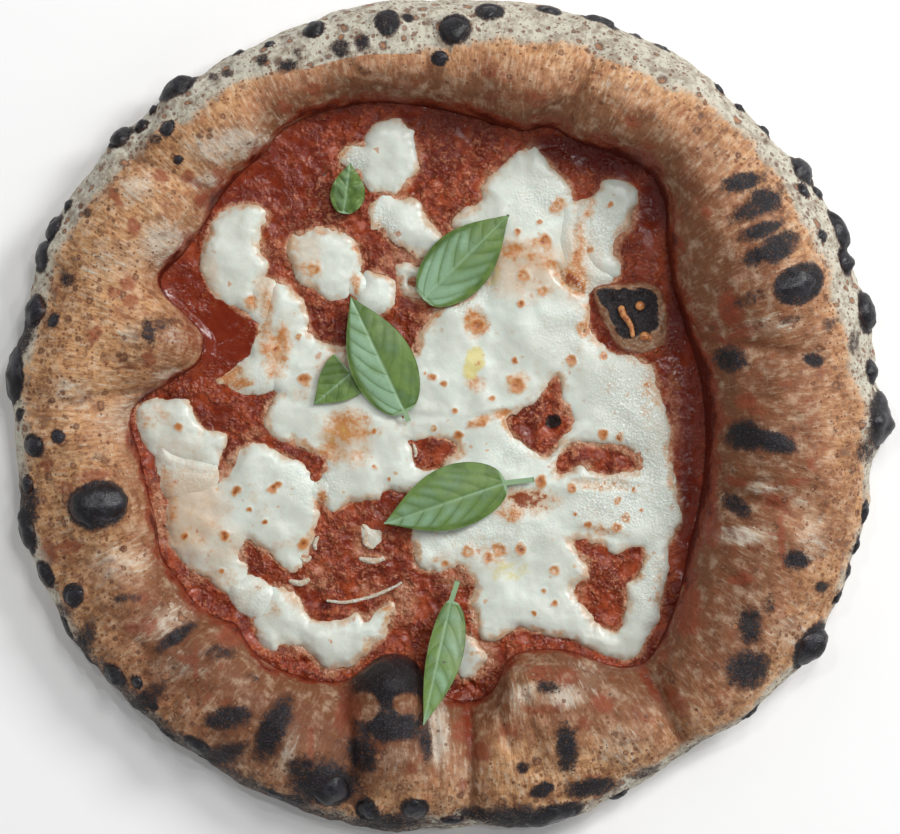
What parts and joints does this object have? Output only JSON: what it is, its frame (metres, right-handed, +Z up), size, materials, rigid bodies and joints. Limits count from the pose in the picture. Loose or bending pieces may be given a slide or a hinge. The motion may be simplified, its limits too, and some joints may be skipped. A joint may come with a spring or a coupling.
{
  "type": "pizza",
  "caption": "Round wood-fired pizza with a tall puffed and charred rim, tomato sauce, melted mozzarella and basil leaves.",
  "frame": {"origin": "middle of the pizza's plan, on the flat underside of the base", "axes": "+Z up out of the toppings, +Y to the top of the picture and +X to its right"},
  "size_m": [0.3156, 0.2957, 0.0402],
  "materials": {
    "crust": "matt baked dough, browned and charred in spots",
    "sauce": "wet, grainy tomato",
    "mozzarella": "moist melted cheese",
    "basil": "satin leaf"
  },
  "bodies": {
    "root": {"crust": "crust", "tomato_sauce": "sauce", "mozzarella_top": "mozzarella", "mozzarella_left": "mozzarella", "mozzarella_round": "mozzarella", "mozzarella_upper_middle": "mozzarella", "mozzarella_small": "mozzarella", "mozzarella_curl": "mozzarella", "mozzarella_right": "mozzarella", "mozzarella_centre": "mozzarella", "mozzarella_west": "mozzarella", "mozzarella_southwest": "mozzarella", "mozzarella_south": "mozzarella", "mozzarella_by_leaf": "mozzarella", "basil_leaf_small": "basil", "basil_leaf_upper": "basil", "basil_leaf_middle": "basil", "basil_leaf_lower_left": "basil", "basil_leaf_right": "basil", "basil_leaf_bottom": "basil"}
  },
  "joints": []
}
